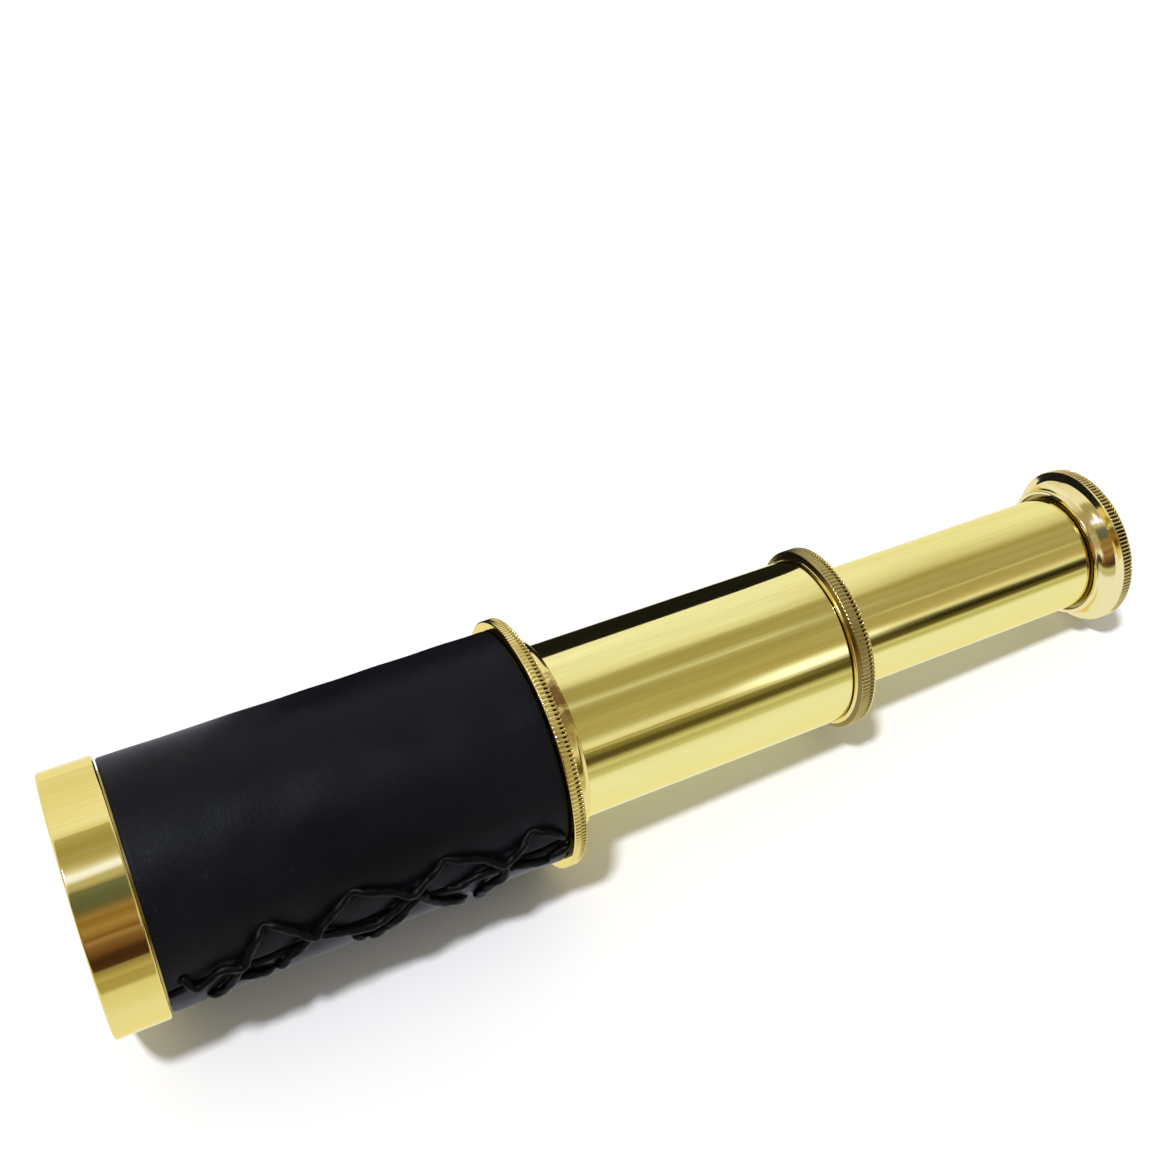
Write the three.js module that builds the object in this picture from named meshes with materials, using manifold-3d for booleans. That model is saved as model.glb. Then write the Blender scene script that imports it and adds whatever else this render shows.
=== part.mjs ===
// Draw-tube kaleidoscope: a leather-covered barrel, two brass draw tubes that slide and turn in it,
// an objective lens at the large end, a three-mirror prism in the smaller draw tube and an eye lens
// in a flared eyecup.
// Millimetres. +X runs along the optical axis from the objective to the eyepiece, +Z is up.
// Places along the axis count from the objective end face; the root group puts the origin at
// mid-length. "Front" is the objective side and "rear" the eye side.
import * as THREE from "three";
import { mergeVertices } from "three/addons/utils/BufferGeometryUtils.js";
import Module from "manifold-3d";

// ---------------------------------------------------------------- driving dimensions
const TOTAL_LENGTH = 152.4; // drawn out, objective face to eyecup rim

const SEG = 48; // facets round the turned outer pieces
const SEG_IN = 36; // facets round the small inner pieces

// Tubes: x is [front end, rear end]. The draw tubes carry two flanges at the front end,
// with a groove between them for the stop ring.
const BARREL = { x: [4.6, 57.3], bore: 13.6, r: 14.35 };
const MIDDLE_DRAW = { x: [45.9, 102.4], bore: 11.4, r: 12.0, flangeR: 12.7, groove: 3.6 };
const EYE_DRAW = { x: [90.4, 147.7], bore: 8.15, r: 8.7, flangeR: 9.3, groove: 3.4 };
const FLANGE_WIDTH = 0.5;

const RUNNING_GAP = 0.15; // draw tube to the collar or stop ring round it
const END_GAP = 0.15; // at each end of a stop ring or felt liner

const INSERT_R = 8.0; // pieces fitted inside the eye draw tube

// Knurls: x range and bore of the toothed ring, and radius over the teeth, all near 0.6 mm pitch.
const COLLAR_KNURL = { x: [57.75, 59.15], bore: 16.0, r: 17.07, teeth: 180 };
const MIDDLE_KNURL = { x: [103.15, 105.05], bore: 12.3, r: 13.2, teeth: 138 };
const EYECUP_KNURL = { x: [150.7, 152.15], bore: 11.1, r: 11.9, teeth: 126 };
const KNURL_DEPTH = 0.32;
const BLANK_GAP = 0.02; // turned blank below the roots of the teeth

// ---------------------------------------------------------------- materials
const material = (options) => () => new THREE.MeshStandardMaterial(options);

const brass = material({ color: 0xd8c070, metalness: 1, roughness: 0.16 });
const brassInner = material({ color: 0xb79a50, metalness: 1, roughness: 0.35 });
const leather = material({ color: 0x1c1d20, metalness: 0, roughness: 0.55 });
const cordBlack = material({ color: 0x0c0c0e, metalness: 0, roughness: 0.5 });
const felt = material({ color: 0x3a2420, metalness: 0, roughness: 1 });
const card = material({ color: 0x141414, metalness: 0, roughness: 0.9 });
const mirrorSilver = material({ color: 0xdfe6ea, metalness: 1, roughness: 0.03 });
const glass = material({
  color: 0xe8f2f0,
  metalness: 0,
  roughness: 0.02,
  transparent: true,
  opacity: 0.35,
});

// ---------------------------------------------------------------- scene and list helpers
function piece(name, geometry, surface) {
  const mesh = new THREE.Mesh(geometry, surface);
  mesh.name = name;
  return mesh;
}

const group = (...parts) => new THREE.Group().add(...parts);

const times = (count, make) => Array.from({ length: count }, (_, i) => make(i));

const inset = ([start, end], gap) => [start + gap, end - gap];

const polar = (r, angle) => new THREE.Vector2(r * Math.cos(angle), r * Math.sin(angle));

// Points on an arc, both ends included.
const arc = (r, from, to, steps) =>
  times(steps + 1, (i) => polar(r, from + ((to - from) * i) / steps));

// ---------------------------------------------------------------- manifold-3d conversion
const wasm = await Module();
wasm.setup();

// A closed three.js geometry as a manifold-3d solid, welded and without collapsed triangles.
function solid(geometry) {
  const loose = geometry.index ? geometry.toNonIndexed() : geometry;
  const bare = new THREE.BufferGeometry().setAttribute("position", loose.getAttribute("position"));
  const merged = mergeVertices(bare, 1e-4);
  const index = merged.index.array;
  const triangles = [];
  for (let i = 0; i < index.length; i += 3) {
    const [a, b, c] = index.subarray(i, i + 3);
    if (a !== b && b !== c && a !== c) triangles.push(a, b, c);
  }
  return new wasm.Manifold(
    new wasm.Mesh({
      numProp: 3,
      vertProperties: new Float32Array(merged.attributes.position.array),
      triVerts: new Uint32Array(triangles),
    }),
  );
}

// A manifold-3d solid as a three.js geometry.
function geometryOf(manifold) {
  const { numProp, numVert, vertProperties, triVerts } = manifold.getMesh();
  const positions = new Float32Array(numVert * 3);
  for (let i = 0; i < numVert; i++) {
    positions.set(vertProperties.subarray(i * numProp, i * numProp + 3), i * 3);
  }
  const geometry = new THREE.BufferGeometry()
    .setAttribute("position", new THREE.BufferAttribute(positions, 3))
    .setIndex(new THREE.BufferAttribute(new Uint32Array(triVerts), 1));
  geometry.computeVertexNormals();
  return geometry;
}

// ---------------------------------------------------------------- shape helpers
// A turned piece from a profile of [x, r] in either direction.
// The profile closes on itself unless it starts and ends on the axis.
function turned(profile, segments = SEG) {
  let area = 0;
  profile.forEach(([x, r], i) => {
    const [nextX, nextR] = profile[(i + 1) % profile.length];
    area += r * nextX - nextR * x;
  });
  const points = area > 0 ? profile.slice() : profile.slice().reverse();
  const onAxis = points[0][1] === 0 && points.at(-1)[1] === 0;
  if (!onAxis) points.push(points[0]);
  return new THREE.LatheGeometry(
    points.map(([x, r]) => new THREE.Vector2(r, x)),
    segments,
  ).rotateZ(-Math.PI / 2);
}

const ring = ([x0, x1], bore, r, segments = SEG) =>
  turned([[x0, bore], [x0, r], [x1, r], [x1, bore]], segments);

// A bar from x0 to x1 with its section drawn across the axis: shape x to -Y, shape y to +Z.
function across(points, [x0, x1], holes = []) {
  const shape = new THREE.Shape(points);
  shape.holes.push(...holes);
  const extrusion = { depth: x1 - x0, bevelEnabled: false, curveSegments: 1 };
  // The depth runs to -X, so the bar is then slid to end at x1.
  const axes = new THREE.Matrix4().makeBasis(
    new THREE.Vector3(0, -1, 0),
    new THREE.Vector3(0, 0, 1),
    new THREE.Vector3(-1, 0, 0),
  );
  return new THREE.ExtrudeGeometry(shape, extrusion).applyMatrix4(axes).translate(x1, 0, 0);
}

// A ring with a slit centred at an angle above the horizontal on the -Y side.
function openRing(range, bore, r, slit, segments) {
  const half = slit.width / 2 / r;
  const middle = THREE.MathUtils.degToRad(slit.degrees);
  const from = middle + half;
  const to = middle + 2 * Math.PI - half;
  const outside = arc(r, from, to, segments);
  const inside = arc(bore, from, to, segments).reverse();
  return across([...outside, ...inside], range);
}

// The two profile points of the turned blank under a knurl.
function knurlBlank({ x, r }) {
  const blankR = r - KNURL_DEPTH - BLANK_GAP;
  return [[x[0], blankR], [x[1], blankR]];
}

// A turned body joined to a ring with straight teeth round its outside.
function withKnurl(body, { x, bore, r, teeth }) {
  const outline = times(2 * teeth, (i) =>
    polar(i % 2 ? r - KNURL_DEPTH : r, (Math.PI * i) / teeth),
  );
  const hole = times(SEG, (i) => polar(bore, (-2 * Math.PI * i) / SEG));
  const toothed = across(outline, x, [new THREE.Path(hole)]);
  return geometryOf(solid(body).add(solid(toothed)));
}

// A lens: edge is the x of the front and rear faces at the rim, and each curve is a radius of
// curvature, 0 for a flat face.
const LENS_STEPS = 4; // from the axis to the rim
function lens({ r, edge, frontCurve, rearCurve }) {
  const sag = (curve, y) => (curve ? curve - Math.sqrt(curve * curve - y * y) : 0);
  const face = (rimX, curve, outward) =>
    times(LENS_STEPS + 1, (i) => (r * i) / LENS_STEPS)
      .filter((y, i) => curve || i === 0 || i === LENS_STEPS)
      .map((y) => [rimX + outward * (sag(curve, r) - sag(curve, y)), y]);
  const front = face(edge[0], frontCurve, -1);
  const rear = face(edge[1], rearCurve, 1).reverse();
  return turned([...front, ...rear], SEG_IN);
}

// ---------------------------------------------------------------- barrel and leather
const LEATHER = { x: [6.9, 57.45], bore: 14.5, r: 15.8 };
const SEAM = { degrees: -9, width: 0.9 }; // just below the horizontal, on the -Y side

const barrelTube = () =>
  piece("barrel_tube", ring(BARREL.x, BARREL.bore, BARREL.r), brassInner());

const leatherSleeve = () =>
  piece("leather_sleeve", openRing(LEATHER.x, LEATHER.bore, LEATHER.r, SEAM, SEG), leather());

// ---------------------------------------------------------------- lacing
const CORD = { r: 0.5, pathR: 16.38, sides: 7, stepsPerPoint: 1.8, minSteps: 6 };

// Cord runs as [x, degrees above the horizontal on the -Y side].
const UPPER_STRAND = [
  [9.6, -9.5], [13, -3], [16, 1.5], [18.9, 9.6], [21.2, 6.1], [24.0, -2.4],
  [26.6, 5.2], [29.4, 9.8], [32.3, 7.2], [36.3, -1.4], [38.5, 4.0], [41.1, 8.0],
  [44.3, 5.4], [47.9, -4.0], [50.2, 0.6], [52.4, 4.4], [55.2, 0.2],
];
const LOWER_STRAND = [
  [14.1, -13.8], [16.6, -14.5], [20, -9.5], [24.0, -2.4], [27.2, -8.7], [31.2, -12.6],
  [36.3, -1.4], [40.2, -13], [43.0, -12.5], [47.9, -4.0], [50.5, -11.7], [54.7, -18.3],
];
const STITCHES = [
  [[11.7, -24], [13.4, -17], [14.1, -13.8], [16, -10], [18.9, 9.6]],
  [[19.8, -16.7], [20.9, -12.1], [24.0, -2.4]],
  [[31.2, -25.9], [32.9, -18], [36.3, -1.4]],
  [[40.2, -13], [42.4, -24.3], [43.7, -32]],
  [[45.4, -30.5], [46.2, -18], [47.9, -4.0]],
  [[54.7, -18.3], [55.9, -12.6], [57.0, -10.5]],
];

// A smooth curve through a cord run, drawn flat and wrapped round the leather.
class CordCurve extends THREE.Curve {
  constructor(run) {
    super();
    this.flat = new THREE.CatmullRomCurve3(
      run.map(([x, degrees]) =>
        new THREE.Vector3(x, THREE.MathUtils.degToRad(degrees) * CORD.pathR, 0),
      ),
      false,
      "centripetal",
    );
  }
  getPoint(t, target = new THREE.Vector3()) {
    const { x, y } = this.flat.getPoint(t);
    const angle = y / CORD.pathR;
    return target.set(x, -CORD.pathR * Math.cos(angle), CORD.pathR * Math.sin(angle));
  }
}

function cord(run) {
  const section = times(CORD.sides, (i) => polar(CORD.r, (2 * Math.PI * i) / CORD.sides));
  return new THREE.ExtrudeGeometry(new THREE.Shape(section), {
    steps: Math.max(CORD.minSteps, Math.round(run.length * CORD.stepsPerPoint)),
    extrudePath: new CordCurve(run),
    bevelEnabled: false,
    curveSegments: 1,
  });
}

function lacingCord() {
  const lacing = [UPPER_STRAND, LOWER_STRAND, ...STITCHES]
    .map((run) => solid(cord(run)))
    .reduce((joined, next) => joined.add(next));
  return piece("lacing_cord", geometryOf(lacing), cordBlack());
}

// ---------------------------------------------------------------- objective end
const CELL = {
  length: 6.65,
  r: 16.4,
  chamfer: 0.3,
  lipBore: 12.6, // clear aperture at the front
  lensBore: 13.9,
  lensX: [1.2, 4.4], // lens seat
  socketBore: 14.6, // takes the barrel tube
};
// f about 79 mm in crown glass
const OBJECTIVE = { r: 13.6, edge: [1.5, 2.7], frontCurve: 82, rearCurve: 82 };
const LENS_RING = { x: [3.05, 4.3], bore: 12.2, r: 13.7 };
const SPANNER_SLOT = { x: 4.25, length: 0.7, across: 2.4, width: 1.0 };

function objectiveCell() {
  const { length, r, chamfer, lipBore, lensBore, lensX, socketBore } = CELL;
  const profile = [
    [0, lipBore],
    [0, r - chamfer],
    [chamfer, r],
    [length - chamfer, r],
    [length, r - chamfer],
    [length, socketBore],
    [lensX[1], socketBore],
    [lensX[1], lensBore],
    [lensX[0], lensBore],
    [lensX[0], lipBore],
  ];
  return piece("objective_cell", turned(profile), brass());
}

const objectiveLens = () => piece("objective_lens", lens(OBJECTIVE), glass());

// The retaining ring has two spanner slots in its rear face.
function objectiveLensRing() {
  const { x, bore, r } = LENS_RING;
  const { length, across: radial, width } = SPANNER_SLOT;
  let body = solid(ring(x, bore, r));
  for (const side of [-1, 1]) {
    const slot = new THREE.BoxGeometry(length, radial, width)
      .translate(SPANNER_SLOT.x, (side * (bore + r)) / 2, 0);
    body = body.subtract(solid(slot));
  }
  return piece("objective_lens_ring", geometryOf(body), brassInner());
}

// ---------------------------------------------------------------- collars
// Outlines are [x, r] along the outside, from the front end of the spigot to the rear face.
// The pocket in the bore holds the felt liner.
const BARREL_COLLAR = {
  outline: [
    [51.0, 13.4], [57.6, 13.4], [57.6, 16.6],
    ...knurlBlank(COLLAR_KNURL),
    [59.3, 16.4], [59.3, 14.0], [59.6, 13.4], [61.0, 13.4], [61.7, 13.1], [61.95, 12.6],
  ],
  pocket: { x: [53.0, 59.0], r: 13.0 },
  knurl: COLLAR_KNURL,
};
const MIDDLE_COLLAR = {
  outline: [
    [95.4, 11.25], [102.6, 11.25], [102.6, 12.05], [102.85, 12.4],
    ...knurlBlank(MIDDLE_KNURL),
    [105.35, 12.75],
  ],
  pocket: { x: [97.0, 102.0], r: 9.7 },
  knurl: MIDDLE_KNURL,
};
const FELT_GAP = { inside: 0.1, outside: 0.12 }; // to the draw tube and to the pocket wall

function collar(name, { outline, pocket, knurl }, tube) {
  const bore = tube.r + RUNNING_GAP;
  const [pocketFront, pocketRear] = pocket.x;
  const body = turned([
    [outline[0][0], bore],
    ...outline,
    [outline.at(-1)[0], bore],
    [pocketRear, bore],
    [pocketRear, pocket.r],
    [pocketFront, pocket.r],
    [pocketFront, bore],
  ]);
  return piece(name, withKnurl(body, knurl), brass());
}

function feltLiner(name, { pocket }, tube) {
  const bore = tube.r + FELT_GAP.inside;
  const liner = ring(inset(pocket.x, END_GAP), bore, pocket.r - FELT_GAP.outside);
  return piece(name, liner, felt());
}

// ---------------------------------------------------------------- draw tubes and stop rings
const STOP_SLIT = { degrees: 90, width: 2.0 }; // at the top
const MIDDLE_STOP_R = 13.42;
const EYE_STOP_R = 11.2;

// The x range between the two flanges.
function grooveRange(tube) {
  const front = tube.x[0] + FLANGE_WIDTH;
  return [front, front + tube.groove];
}

function drawTube(name, tube) {
  const { x, bore, r, flangeR } = tube;
  const [grooveFront, grooveRear] = grooveRange(tube);
  const profile = [
    [x[0], bore],
    [x[0], flangeR],
    [grooveFront, flangeR],
    [grooveFront, r],
    [grooveRear, r],
    [grooveRear, flangeR],
    [grooveRear + FLANGE_WIDTH, flangeR],
    [grooveRear + FLANGE_WIDTH, r],
    [x[1], r],
    [x[1], bore],
  ];
  return piece(name, turned(profile), brass());
}

function stopRing(name, tube, r) {
  const range = inset(grooveRange(tube), END_GAP);
  return piece(name, openRing(range, tube.r + RUNNING_GAP, r, STOP_SLIT, SEG_IN), brassInner());
}

// ---------------------------------------------------------------- mirror prism
const PRISM_X = [96.0, 142.0];
const SLEEVE_BORE = 7.7;
const FRONT_WASHER = { x: [93.7, 94.55], bore: 6.6 };
const FRONT_GLASS_X = [94.85, 95.7];
const REAR_DISC = { x: [142.3, 143.1], bore: 3.0 };
const MIRROR = { width: 12.0, thick: 1.0, apothem: 3.55 }; // apothem: axis to reflecting face
const PAD = { r: 7.5, halfWidth: 5.2, mirrorGap: 0.25, endInset: 1, arcSteps: 8 };

const prismFrontWasher = () =>
  piece(
    "prism_front_washer",
    ring(FRONT_WASHER.x, FRONT_WASHER.bore, INSERT_R, SEG_IN),
    brassInner(),
  );

// A disc is a ring without a bore.
const prismFrontGlass = () =>
  piece("prism_front_glass", ring(FRONT_GLASS_X, 0, INSERT_R, SEG_IN), glass());

const prismSleeve = () => piece("prism_sleeve", ring(PRISM_X, SLEEVE_BORE, INSERT_R), card());

const prismRearDisc = () =>
  piece("prism_rear_disc", ring(REAR_DISC.x, REAR_DISC.bore, INSERT_R, SEG_IN), card());

function mirrorStrip(number) {
  const [front, rear] = PRISM_X;
  const box = new THREE.BoxGeometry(rear - front, MIRROR.width, MIRROR.thick);
  const strip = piece("mirror_" + number, box, mirrorSilver());
  strip.position.set((front + rear) / 2, 0, -(MIRROR.apothem + MIRROR.thick / 2));
  return strip;
}

// Felt between the back of a mirror and the sleeve: an arc below, flat on top.
function mirrorPad(number) {
  const top = -(MIRROR.apothem + MIRROR.thick + PAD.mirrorGap);
  const half = Math.asin(PAD.halfWidth / PAD.r);
  const down = -Math.PI / 2;
  const section = [
    ...arc(PAD.r, down - half, down + half, PAD.arcSteps),
    new THREE.Vector2(PAD.halfWidth, top),
    new THREE.Vector2(-PAD.halfWidth, top),
  ];
  return piece("mirror_pad_" + number, across(section, inset(PRISM_X, PAD.endInset)), felt());
}

// One side of the triangle: strip and pad lie below the axis, and the group turns them.
function prismSide(i) {
  const side = group(mirrorStrip(i + 1), mirrorPad(i + 1));
  side.rotation.x = (i * 2 * Math.PI) / 3;
  return side;
}

// ---------------------------------------------------------------- eye end
// [x, r] round the whole section of the eyecup.
const EYECUP_PROFILE = [
  // stem inside the tube, and the recess round the tube end
  [143.6, 6.6], [143.6, INSERT_R], [147.85, INSERT_R], [147.85, 9.2], [147.35, 9.2],
  // neck, sweeping out to the knurled rim
  [147.35, 9.68], [147.5, 9.8], [148.6, 9.82], [149.2, 9.98], [149.75, 10.22], [150.2, 10.57],
  ...knurlBlank(EYECUP_KNURL),
  // rim and dished face, down to the eye hole
  [TOTAL_LENGTH, 11.4], [TOTAL_LENGTH, 10.6], [151.55, 9.3], [150.85, 7.3], [150.5, 4.3],
  // eye hole and lens seat
  [150.3, 4.0], [149.3, 4.0], [149.3, 6.2], [147.0, 6.2], [147.0, 6.6],
];
// plano-convex, f about 50 mm
const EYE_LENS = { r: 6.0, edge: [147.9, 149.1], frontCurve: 26, rearCurve: 0 };
const EYE_RING_PROFILE = [
  [144.9, 5.0], [144.9, 6.4], [146.8, 6.4], [146.8, 6.0], [147.5, 6.0], [147.5, 5.0],
];

const eyecup = () => piece("eyecup", withKnurl(turned(EYECUP_PROFILE), EYECUP_KNURL), brass());

const eyeLens = () => piece("eye_lens", lens(EYE_LENS), glass());

const eyeLensRing = () => piece("eye_lens_ring", turned(EYE_RING_PROFILE, SEG_IN), brassInner());

// ---------------------------------------------------------------- assembly
const root = group(
  group(barrelTube(), leatherSleeve(), lacingCord()),
  group(objectiveCell(), objectiveLens(), objectiveLensRing()),
  group(
    collar("barrel_collar", BARREL_COLLAR, MIDDLE_DRAW),
    feltLiner("barrel_felt_liner", BARREL_COLLAR, MIDDLE_DRAW),
  ),
  group(stopRing("middle_stop_ring", MIDDLE_DRAW, MIDDLE_STOP_R)),
  group(drawTube("middle_draw_tube", MIDDLE_DRAW)),
  group(
    collar("middle_collar", MIDDLE_COLLAR, EYE_DRAW),
    feltLiner("middle_felt_liner", MIDDLE_COLLAR, EYE_DRAW),
  ),
  group(stopRing("eye_stop_ring", EYE_DRAW, EYE_STOP_R)),
  group(
    drawTube("eye_draw_tube", EYE_DRAW),
    prismFrontWasher(),
    prismFrontGlass(),
    prismSleeve(),
    prismRearDisc(),
    ...times(3, prismSide),
  ),
  group(eyecup(), eyeLens(), eyeLensRing()),
);
root.name = "draw_tube_kaleidoscope";
root.position.x = -TOTAL_LENGTH / 2;

export default root;
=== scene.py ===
"""A three-part brass spyglass with a laced leather sleeve and a mirror prism in its eye draw.

It lies along X: the objective end face is at low x, the eyecup at high x, and the axis of the
tubes is at y = z = 0. Front is -Y, up is +Z. Sizes are in mm, and x is counted from the
objective end face. Angles round the axis are 0 at the front (-Y) and 90 degrees at the top (+Z).
"""
import math

import bpy
import numpy as np
from mathutils import Matrix, Vector


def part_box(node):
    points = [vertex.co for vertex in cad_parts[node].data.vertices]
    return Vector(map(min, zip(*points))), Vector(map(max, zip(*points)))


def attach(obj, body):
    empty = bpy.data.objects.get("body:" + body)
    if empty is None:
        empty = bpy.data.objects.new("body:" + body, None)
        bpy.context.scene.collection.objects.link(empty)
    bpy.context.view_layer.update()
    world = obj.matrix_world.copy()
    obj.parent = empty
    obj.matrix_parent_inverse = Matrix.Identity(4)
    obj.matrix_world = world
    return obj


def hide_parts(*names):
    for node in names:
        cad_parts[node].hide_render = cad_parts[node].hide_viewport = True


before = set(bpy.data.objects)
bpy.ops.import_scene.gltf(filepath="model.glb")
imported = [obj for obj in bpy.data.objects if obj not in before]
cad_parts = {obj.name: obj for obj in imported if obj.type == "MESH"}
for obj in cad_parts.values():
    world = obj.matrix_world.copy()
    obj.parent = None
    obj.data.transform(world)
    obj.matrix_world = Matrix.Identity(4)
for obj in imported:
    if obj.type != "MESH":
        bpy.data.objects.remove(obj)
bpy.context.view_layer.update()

MM = 0.001
TAU = 2 * math.pi
FACE_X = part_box("objective_cell")[0].x / MM  # where the frame puts the objective end face

# ------------------------------------------------------------------ driving sizes (mm)
BARREL_BORE = 13.6
MIDDLE_RADIUS, MIDDLE_BORE = 12.0, 11.4  # the middle draw tube
EYE_RADIUS, EYE_BORE = 8.7, 8.15         # the eye draw tube
METAL_GAP = 0.15     # between a draw tube and the brass round it
FELT_GAP = 0.1       # between a draw tube and the felt round it
LEATHER_RADIUS = 15.8
LEATHER_BORE = 14.5
FILLET = 0.06        # corner radius where a profile gives none


def turned_size(node):
    """Low x, high x and outer radius of a turned CAD node."""
    low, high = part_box(node)
    return low.x / MM - FACE_X, high.x / MM - FACE_X, max(-low.z, high.z) / MM


def in_frame(verts):
    """Millimetres from the objective end face to metres in the frame."""
    moved = np.array(verts, float)
    moved[:, 0] += FACE_X
    return moved * MM


# ------------------------------------------------------------------ mesh helpers
def around(x, radius, angle):
    """Points at x, at a radius and an angle round the axis; the arguments broadcast."""
    parts = np.broadcast_arrays(x, -radius * np.cos(angle), radius * np.sin(angle))
    return np.stack(parts, -1)


def link_mesh(name, mesh):
    ob = bpy.data.objects.new(name, mesh)
    bpy.context.scene.collection.objects.link(ob)
    return ob


def plain_object(name, verts, faces):
    mesh = bpy.data.meshes.new(name)
    mesh.from_pydata(in_frame(verts).tolist(), [], faces)
    return link_mesh(name, mesh)


def shade(mesh, sharp_deg):
    mesh.shade_smooth()
    mesh.set_sharp_from_angle(angle=math.radians(sharp_deg))


def mesh_object(name, verts, faces, sharp_deg=38):
    """A closed surface of any faces, turned to face outwards."""
    verts = np.asarray(verts, float)
    volume = 0.0
    for face in faces:
        first = verts[face[0]]
        for i in range(1, len(face) - 1):
            volume += float(np.dot(first, np.cross(verts[face[i]], verts[face[i + 1]])))
    if volume < 0:
        faces = [tuple(reversed(face)) for face in faces]
    ob = plain_object(name, verts, faces)
    ob.data.validate()
    ob.data.update()
    shade(ob.data, sharp_deg)
    return ob


def quad_object(name, verts, quads, sharp_deg=38):
    """The same as mesh_object for big meshes of quads only."""
    verts = np.asarray(verts, float)
    quads = np.asarray(quads, int)
    a, b, c, d = (verts[quads[:, i]] for i in range(4))
    volume = (np.einsum("ij,ij->i", a, np.cross(b, c)).sum()
              + np.einsum("ij,ij->i", a, np.cross(c, d)).sum())
    if volume < 0:
        quads = quads[:, ::-1]
    mesh = bpy.data.meshes.new(name)
    count = len(quads)
    mesh.vertices.add(len(verts))
    mesh.vertices.foreach_set("co", in_frame(verts).astype(np.float32).ravel())
    mesh.loops.add(4 * count)
    mesh.loops.foreach_set("vertex_index", quads.astype(np.int32).ravel())
    mesh.polygons.add(count)
    mesh.polygons.foreach_set("loop_start", (np.arange(count) * 4).astype(np.int32))
    mesh.polygons.foreach_set("loop_total", np.full(count, 4, np.int32))
    mesh.update(calc_edges=True)
    mesh.validate()
    shade(mesh, sharp_deg)
    return link_mesh(name, mesh)


def ring_quads(rings, sides):
    """Quads between successive closed rings of vertices."""
    faces = []
    for i in range(rings - 1):
        for j in range(sides):
            j2 = (j + 1) % sides
            faces.append((i * sides + j, i * sides + j2,
                          (i + 1) * sides + j2, (i + 1) * sides + j))
    return faces


def capped_rings(rings, sides):
    """ring_quads with a flat face at each end."""
    first_cap = tuple(range(sides - 1, -1, -1))
    last_cap = tuple((rings - 1) * sides + j for j in range(sides))
    return ring_quads(rings, sides) + [first_cap, last_cap]


def corner_points(before, corner, after, fillet, arc_steps):
    """The arc that rounds one corner, or the bare corner where it is too flat to round."""
    if fillet <= 0:
        return [tuple(corner)]
    to_before, to_after = before - corner, after - corner
    len_before, len_after = np.linalg.norm(to_before), np.linalg.norm(to_after)
    if len_before < 1e-6 or len_after < 1e-6:
        return [tuple(corner)]
    to_before, to_after = to_before / len_before, to_after / len_after
    angle = math.acos(float(np.clip(np.dot(to_before, to_after), -1, 1)))
    if angle > math.radians(172):
        return [tuple(corner)]
    trim = min(fillet / math.tan(angle / 2), len_before * 0.42, len_after * 0.42)
    radius = trim * math.tan(angle / 2)
    bisector = to_before + to_after
    bisector /= np.linalg.norm(bisector)
    centre = corner + bisector * (radius / math.sin(angle / 2))
    start = corner + to_before * trim - centre
    end = corner + to_after * trim - centre
    sweep = math.acos(float(np.clip(np.dot(start, end) / (radius * radius), -1, 1)))
    steps = max(2, int(round(arc_steps * sweep / (math.pi / 2))) + 1)
    arc = []
    for k in range(steps + 1):
        s = k / steps
        spoke = math.sin((1 - s) * sweep) * start + math.sin(s * sweep) * end
        arc.append(tuple(centre + spoke / math.sin(sweep)))
    return arc


def rounded(points, closed=True, arc_steps=3):
    """A profile of (x, radius[, fillet]) with rounded corners and support rows beside them."""
    places = [np.array(p[:2], float) for p in points]
    fillets = [p[2] if len(p) > 2 else FILLET for p in points]
    count = len(points)
    arcs = []
    for i in range(count):
        if not closed and i in (0, count - 1):
            arcs.append([tuple(places[i])])
        else:
            arcs.append(corner_points(places[(i - 1) % count], places[i],
                                      places[(i + 1) % count], fillets[i], arc_steps))
    flat = []
    for i in range(count):
        flat.extend(arcs[i])
        if i == count - 1 and not closed:
            break
        a = np.array(arcs[i][-1], float)
        b = np.array(arcs[(i + 1) % count][0], float)
        length = float(np.linalg.norm(b - a))
        if length > 0.25:
            inset = min(0.05, 0.2 * length)
            flat.append(tuple(a + (b - a) * inset / length))
            flat.append(tuple(b + (a - b) * inset / length))
    return flat


def lathe(name, profile, segments, closed=True, wall=None, sharp_deg=38, arc_steps=3):
    """A piece turned round X. wall(x, radius, angles) may give the radius at each angle."""
    points = rounded(profile, closed, arc_steps)
    points = [p for i, p in enumerate(points)
              if i == 0 or math.dist(p, points[i - 1]) > 1e-5]
    angles = np.arange(segments) * TAU / segments
    verts, rows = [], []
    for x, r in points:
        if r < 1e-6:
            rows.append([len(verts)])
            verts.append((x, 0.0, 0.0))
            continue
        radii = np.full(segments, r) if wall is None else wall(x, r, angles)
        rows.append(list(range(len(verts), len(verts) + segments)))
        verts.extend(around(x, radii, angles).tolist())
    quads, tris = [], []
    count = len(rows)
    for i in range(count if closed else count - 1):
        a, b = rows[i], rows[(i + 1) % count]
        for k in range(segments):
            k2 = (k + 1) % segments
            if len(a) == 1:
                tris.append((a[0], b[k], b[k2]))
            elif len(b) == 1:
                tris.append((a[k], b[0], a[k2]))
            else:
                quads.append((a[k], b[k], b[k2], a[k2]))
    if tris:
        return mesh_object(name, verts, quads + tris, sharp_deg)
    return quad_object(name, verts, quads, sharp_deg)


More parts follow.
